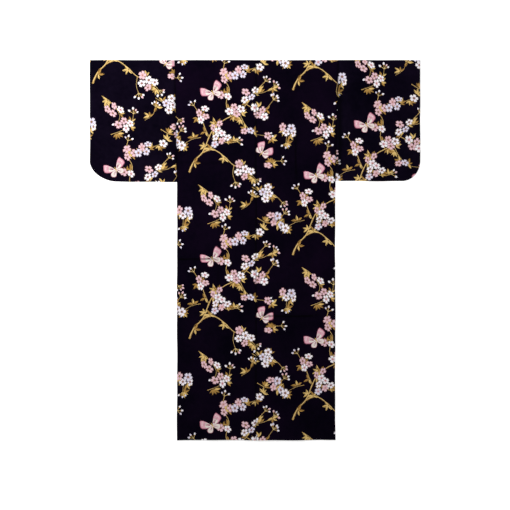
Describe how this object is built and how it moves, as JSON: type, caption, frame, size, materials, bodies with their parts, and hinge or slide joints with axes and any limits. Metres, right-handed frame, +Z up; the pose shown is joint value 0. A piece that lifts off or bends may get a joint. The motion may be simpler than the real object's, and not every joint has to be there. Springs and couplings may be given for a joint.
{
  "type": "cotton yukata robe",
  "caption": "Cotton robe laid flat with its back upwards: boxy folded sleeves with rounded lower corners, straight body, overlapping fronts and a collar strip underneath.",
  "frame": {"origin": "middle of the garment's outline, on the floor that it lies on", "axes": "+Y from the hem to the shoulder line, +X from the left sleeve to the right sleeve as seen from above, +Z up from the floor, out of the garment's back"},
  "size_m": [1.321, 1.52, 0.0042],
  "materials": {
    "body_cloth": "matt printed cotton",
    "okumi_cloth": "matt printed cotton",
    "sleeve_cloth": "matt printed cotton",
    "collar_cloth": "matt printed cotton"
  },
  "bodies": {
    "root": {"body_left": "body_cloth", "body_right": "body_cloth", "okumi_left": "okumi_cloth", "okumi_right": "okumi_cloth", "sleeve_left": "sleeve_cloth", "sleeve_right": "sleeve_cloth", "collar": "collar_cloth"}
  },
  "joints": []
}
